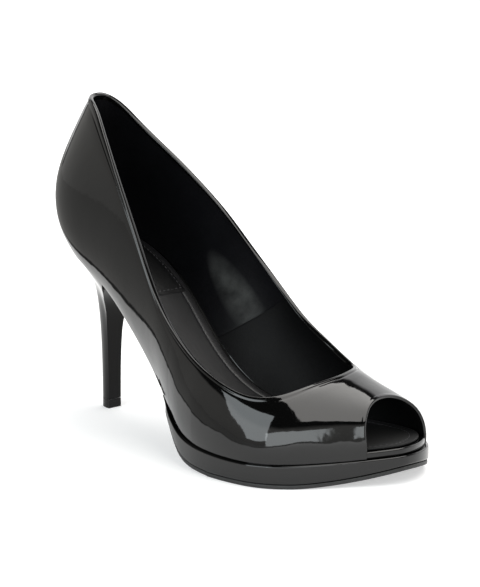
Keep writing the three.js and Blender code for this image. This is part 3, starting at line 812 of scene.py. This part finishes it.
def sole_look(name, colour, roughness=0.5, shine=0.4):
    """Sole: moulded rubber with a fine leather print and light scuffs on what meets the floor."""
    look = Look(name)
    print_mark = look.cells(700.0)
    scuff = look.noise(180.0, 5.0, 0.7, look.place((0.35, 1.6, 1.0)))
    worn = ((scuff - 0.55) * 5.0).clip()
    lit = look.blend(colour, shade(colour, 2.6), worn)
    look.set(base_color=lit, roughness=roughness + worn * 0.2,
             normal=look.bump(print_mark, 0.0002, 0.7), specular_ior_level=shine)
    return look.material


def floor_look(name, colour):
    """Floor: a lit white sheet of paper with a dark border, on a grey floor. The border is a
    straight line on the floor, given by a point and the way that it runs."""
    look = Look(name)
    where = look.place()
    x, y, _ = look.axes(where)
    way = math.radians(PAPER_WAY)
    inwards = (x - PAPER_CORNER[0]) * math.cos(way) + (y - PAPER_CORNER[1]) * math.sin(way)
    tooth = look.noise(300.0, 2.0, 0.5)
    paper = (inwards * 200.0).clip()
    border = ((inwards + PAPER_BORDER) * 200.0).clip()
    white = look.blend(colour, tuple(min(1.0, c * 1.03) for c in colour), tooth)
    grey = look.blend((0.03, 0.03, 0.03), (0.05, 0.05, 0.05), tooth)
    away = (look.node("ShaderNodeVectorMath", {"operation": "LENGTH"}, {0: where}, output=1)
            - 0.05) * 1.6
    light = look.blend((0.42, 0.42, 0.42), (1.0, 1.0, 1.0), away.clip())
    glow = look.blend(look.blend((0.44, 0.435, 0.42), (0.02, 0.02, 0.02), border), light, paper)
    look.set(base_color=look.blend(grey, white, paper), roughness=0.75,
             specular_ior_level=0.1, emission_color=glow, emission_strength=1.0)
    return look.material


# Operators

def finish_piece(piece, slot, nodes, *materials):
    """Gives a piece its finishes, lets it ride on the shoe and stand for its CAD nodes."""
    for material in materials:
        piece.data.materials.append(material)
    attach(piece, "root")
    if nodes:
        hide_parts(*nodes)


class PumpOperator:
    bl_options = {"REGISTER", "UNDO"}

    def read(self, context):
        return Last(context.scene.pump_sizes), context.scene.pump_colours


class PUMP_OT_upper(PumpOperator, bpy.types.Operator):
    """Builds the patent upper with its lining and folded edges"""
    bl_idname = "pump.upper"
    bl_label = "Upper"

    def execute(self, context):
        last, colours = self.read(context)
        finish_piece(build_upper(last), "patent_upper", ["upper"],
                     patent_look("upper patent", tuple(colours.patent)),
                     lining_look("lining", tuple(colours.lining)))
        return {"FINISHED"}


class PUMP_OT_insole(PumpOperator, bpy.types.Operator):
    """Builds the wrapped insole, the sock with its channel, and the label patch"""
    bl_idname = "pump.insole"
    bl_label = "Insole and sock"

    def execute(self, context):
        last, colours = self.read(context)
        foot = last.feather_height
        wrapped = build_plate(last, "wrapped_insole", 0.0, last.lip,
                              lambda x: foot(x) + last.insole_thickness, foot, INSOLE_ROUND)
        finish_piece(wrapped, "patent_insole", ["insole"],
                     patent_look("insole patent", tuple(colours.patent), 0.7))
        edge, deep = last.channel_inset, last.channel_depth
        relief = [(0.4, 0.0), (edge * 0.45, 0.10), (edge - 1.0, 0.06), (edge - 0.45, -0.08),
                  (edge, -deep), (edge + 0.45, -0.10), (edge + 1.1, 0.0), (edge * 1.5, 0.0)]
        top = sock_top(last)
        sock = build_plate(last, "sock_lining", 0.0, last.sock_edge, top,
                           lambda x: foot(x) + last.insole_thickness + last.gap,
                           SOCK_ROUND, relief)
        finish_piece(sock, "sock", ["sock"], sock_look("sock satin", tuple(colours.sock)))
        self.stitches(last, colours, top)
        self.label(last, colours, top)
        return {"FINISHED"}

    def stitches(self, last, colours, top):
        """A row of stitches down in the channel, round the whole sock."""
        ring, _ = outline(last, 0.0, lambda s, side: last.sock_edge(s, side)
                          + last.channel_inset, 400)
        path = np.column_stack([ring, top(ring[:, 0]) - last.channel_depth * THREAD_SUNK])
        self.sew(last, "sock_stitches", path, colours)

    def sew(self, last, name, path, colours):
        spots, runs = even_places(path, last.stitch_pitch)
        normals = unit(np.cross(runs, np.cross(np.array([0.0, 0.0, 1.0]), runs)))
        piece = capsules(name, last.metres(spots), runs, normals,
                         last.stitch_length * MM, THREAD_WIDTH * MM)
        finish_piece(piece, "sock", [], thread_look(name + " thread", tuple(colours.thread)))

    def on_label(self, last, across, along):
        """Place in plan of a point of the label, given in shares of its halves."""
        return (LABEL_CENTRE[0] + along * last.label_length / 2,
                LABEL_CENTRE[1] + across * last.label_width / 2)

    def label(self, last, colours, top):
        """A bare patch on the sock under the heel: a thin plate with a pressed border."""
        across, along = 26, 40
        a, b = np.meshgrid(np.linspace(-1, 1, across), np.linspace(-1, 1, along))
        x, y = self.on_label(last, a, b)
        rim = np.minimum(1 - np.abs(a), 1 - np.abs(b) * 0.999)
        press = np.exp(-((rim - LABEL_PRESS["place"]) / LABEL_PRESS["spread"]) ** 2)
        z = (top(x) + LABEL_EDGE + LABEL_CROWN * smooth(rim / 0.06)
             - LABEL_PRESS["depth"] * press)
        upper = np.stack([x, y, z], -1)
        lower = np.stack([x, y, top(x) - 0.1], -1)
        points = np.concatenate([upper.reshape(-1, 3), lower.reshape(-1, 3)])
        quad = patch_faces(along, across)
        border = np.concatenate([np.arange(across - 1),
                                 across * np.arange(1, along) - 1,
                                 along * across - 1 - np.arange(across - 1),
                                 across * np.arange(along - 1, 0, -1)])
        after = np.roll(border, -1)
        count = across * along
        walls = np.stack([border, after, after + count, border + count], -1)
        faces = np.concatenate([quad, quad[:, ::-1] + count, walls])
        piece = mesh_object("sock_label", last.metres(points), faces, 60.0)
        finish_piece(piece, "sock", [], sock_look("label satin", tuple(colours.label), 0.26))
        corners = np.array([(-1, -1), (1, -1), (1, 1), (-1, 1), (-1, -1)]) * LABEL_SEAM
        way = np.linspace(0, 1, 60)
        loop = np.concatenate([mix(corners[k], corners[k + 1], way[:, None]) for k in range(4)])
        x, y = self.on_label(last, *loop.T)
        self.sew(last, "label_stitches", np.column_stack([x, y, top(x) + LABEL_RAISED]), colours)


class PUMP_OT_platform(PumpOperator, bpy.types.Operator):
    """Builds the covered platform"""
    bl_idname = "pump.platform"
    bl_label = "Platform"

    def execute(self, context):
        last, colours = self.read(context)
        piece = build_plate(
            last, "covered_platform", last.share_of(PLATFORM_START * last.length),
            lambda s, side: -last.platform_edge * mix(
                EDGE_AT_START, 1.0, smooth((eased(s) - PLATFORM_START) / EDGE_BLEND)),
            lambda x: last.feather_height(x) - PLATFORM_SUNK,
            lambda x: last.sole_bottom(x) + last.sole_thickness + last.gap,
            PLATFORM_ROUND, closing=12)
        finish_piece(piece, "patent_platform", ["platform"],
                     patent_look("platform patent", tuple(colours.patent), 0.6))
        return {"FINISHED"}


class PUMP_OT_sole(PumpOperator, bpy.types.Operator):
    """Builds the sole and finishes the top piece"""
    bl_idname = "pump.sole"
    bl_label = "Sole and top piece"

    def execute(self, context):
        last, colours = self.read(context)
        start = last.share_of(last.breast_place + last.gap)
        piece = build_plate(last, "unit_sole", start, last.sole_inset,
                            lambda x: last.sole_bottom(x) + last.sole_thickness,
                            last.sole_bottom, SOLE_ROUND, closing=12)
        finish_piece(piece, "outsole", ["outsole"], sole_look("sole rubber", tuple(colours.sole)))
        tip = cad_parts["heel_tip"]
        tip.data.materials.clear()
        dark = shade(colours.sole, 0.35)
        tip.data.materials.append(sole_look("top piece rubber", dark, 0.32, 0.15))
        return {"FINISHED"}


class PUMP_OT_heel(PumpOperator, bpy.types.Operator):
    """Builds the covered stiletto heel"""
    bl_idname = "pump.heel"
    bl_label = "Heel"

    def execute(self, context):
        last, colours = self.read(context)
        finish_piece(build_heel(last), "patent_heel", ["heel"],
                     patent_look("heel patent", tuple(colours.patent), 0.5, 0.16))
        return {"FINISHED"}


CAMERA_AZIMUTH, CAMERA_ELEVATION, CAMERA_DISTANCE = 48.8, 12.6, 1.2
CAMERA_TARGET = (100.0, 0.0, 70.0)  # on the shoe, in its own millimetres
TARGET_PIXEL = (215.6, 296.8)
FOCAL_PIXELS = 2496.0

# Soft boxes: middle, direction that they face, degrees turned about it, size in metres, radiance
# and tint. The windows stand round the camera and the ceiling hangs over the shoe, with a dark
# gap between them.
SOFT_BOXES = [
    ("name", "middle", "facing", "turn", "wide", "high", "radiance", "tint"),
    ("tall window", (0.12, -1.42, 0.80), (-0.09, 0.87, -0.48), 6.0, 1.00, 1.36, 4.4,
     (0.90, 0.97, 1.0)),
    ("low window", (1.10, -1.11, 0.345), (-0.65, 0.75, -0.17), 5.0, 1.27, 0.60, 4.4,
     (0.92, 0.98, 1.0)),
    ("ceiling", (0.355, 0.185, 1.08), (0.0, 0.0, -1.0), -26.6, 2.10, 0.77, 4.0,
     (1.0, 0.98, 0.95)),
]
PAPER_CORNER = (-0.225, -0.055)  # a point on the left edge of the paper, metres
PAPER_WAY = 58.0  # degrees from the x axis to the way in from that edge
PAPER_BORDER = 0.020


class PUMP_OT_stage(PumpOperator, bpy.types.Operator):
    """Sets up the floor, the studio light and the camera"""
    bl_idname = "pump.stage"
    bl_label = "Stage"

    def execute(self, context):
        last, colours = self.read(context)
        self.floor(colours)
        self.light()
        self.camera(last)
        return {"FINISHED"}

    def floor(self, colours):
        """A level sheet of paper on the floor."""
        reach, count = 9.0, 3
        line = np.linspace(-reach, reach, count)
        x, y = np.meshgrid(line, line)
        points = np.stack([x, y, 0 * x - 0.0002], -1).reshape(-1, 3)
        mesh = bpy.data.meshes.new("floor")
        mesh.from_pydata(points.tolist(), [], patch_faces(count, count).tolist())
        mesh.materials.append(floor_look("paper", tuple(colours.floor)))
        add_object("floor", mesh)

    def light(self):
        """A room with grey walls, pale behind the medial side and dim overhead, and soft boxes
        from the table."""
        world = bpy.data.worlds.new("studio")
        bpy.context.scene.world = world
        world.use_nodes = True
        room = Look.of_tree(world.node_tree)
        where = room.node("ShaderNodeTexCoord", output=0)
        _, medial, height = room.axes(where)
        wall = room.node("ShaderNodeValToRGB", {"stops": (
            (0.0, (0.60, 0.595, 0.575)), (0.18, (0.70, 0.69, 0.66)), (0.43, (0.72, 0.71, 0.68)),
            (0.53, (0.02,) * 3))}, {0: height})
        pale = room.node("ShaderNodeValToRGB", {"stops": (
            (0.0, (0.9,) * 3), (0.12, (1.0,) * 3), (0.55, (1.0,) * 3), (0.62, (0.03,) * 3))},
            {0: height})
        share = ((medial - 0.17) * 40.0).clip()
        strip = (1.5 - (medial - 0.13).size() * 30.0).clip()
        air = room.node("ShaderNodeMix", {"data_type": "RGBA"},
                        {"Factor": share, 6: wall, 7: pale}, output=2)
        background = world.node_tree.nodes["Background"]
        world.node_tree.links.new(air.socket, background.inputs[0])
        world.node_tree.links.new(((share * 0.4 + 1.0) * (1 - strip * 0.95)).socket,
                                  background.inputs[1])
        names, *rows = SOFT_BOXES
        for row in rows:
            box = dict(zip(names, row))
            lamp = bpy.data.lights.new(box["name"], "AREA")
            lamp.shape, lamp.size, lamp.size_y = "RECTANGLE", box["wide"], box["high"]
            lamp.energy = box["radiance"] * math.pi * box["wide"] * box["high"]
            lamp.color = box["tint"]
            holder = add_object(box["name"], lamp)
            holder.location = box["middle"]
            upright = Vector(box["facing"]).to_track_quat("-Z", "Y")
            turned = Quaternion((0, 0, 1), math.radians(box["turn"]))
            holder.rotation_euler = (upright @ turned).to_euler()
        bpy.context.scene.view_settings.view_transform = "Standard"

    def camera(self, last):
        """A long lens at the photograph's angle, shifted so that the target meets its pixel."""
        a, e = math.radians(CAMERA_AZIMUTH), math.radians(CAMERA_ELEVATION)
        way = Vector((math.sin(a) * math.cos(e), -math.cos(a) * math.cos(e), math.sin(e)))
        longest = max(FRAME_SIZE)
        camera = bpy.data.cameras.new("camera")
        camera.sensor_width, camera.sensor_fit = SENSOR, "AUTO"
        camera.lens = FOCAL_PIXELS * SENSOR / longest
        camera.shift_x = (FRAME_SIZE[0] / 2 - TARGET_PIXEL[0]) / longest
        camera.shift_y = (TARGET_PIXEL[1] - FRAME_SIZE[1] / 2) / longest
        camera.clip_start, camera.clip_end = 0.05, 30.0
        holder = add_object("camera", camera)
        target = Vector(last.metres(CAMERA_TARGET))
        holder.location = target + way * CAMERA_DISTANCE
        holder.rotation_euler = way.to_track_quat("Z", "Y").to_euler()
        bpy.context.scene.camera = holder


OPERATORS = (PUMP_OT_stage, PUMP_OT_upper, PUMP_OT_insole, PUMP_OT_platform, PUMP_OT_sole,
             PUMP_OT_heel)


class PUMP_PT_panel(bpy.types.Panel):
    """Lists the pieces, the sizes and the colours"""
    bl_idname = "PUMP_PT_panel"
    bl_label = "Peep toe pump"
    bl_space_type = "VIEW_3D"
    bl_region_type = "UI"
    bl_category = "Pump"

    def draw(self, context):
        column = self.layout.column()
        for operator in OPERATORS:
            column.operator(operator.bl_idname)
        for group in (context.scene.pump_sizes, context.scene.pump_colours):
            box = self.layout.box()
            for name in group.bl_rna.properties.keys():
                if name not in {"rna_type", "name"}:
                    box.prop(group, name)


CLASSES = (PumpSizes, PumpColours, *OPERATORS, PUMP_PT_panel)


def register():
    for cls in CLASSES:
        bpy.utils.register_class(cls)
    bpy.types.Scene.pump_sizes = bpy.props.PointerProperty(type=PumpSizes)
    bpy.types.Scene.pump_colours = bpy.props.PointerProperty(type=PumpColours)


def unregister():
    del bpy.types.Scene.pump_colours
    del bpy.types.Scene.pump_sizes
    for cls in reversed(CLASSES):
        bpy.utils.unregister_class(cls)


def main():
    register()
    bpy.ops.pump.stage()
    bpy.ops.pump.upper()
    bpy.ops.pump.insole()
    bpy.ops.pump.platform()
    bpy.ops.pump.sole()
    bpy.ops.pump.heel()


if __name__ == "__main__":
    main()
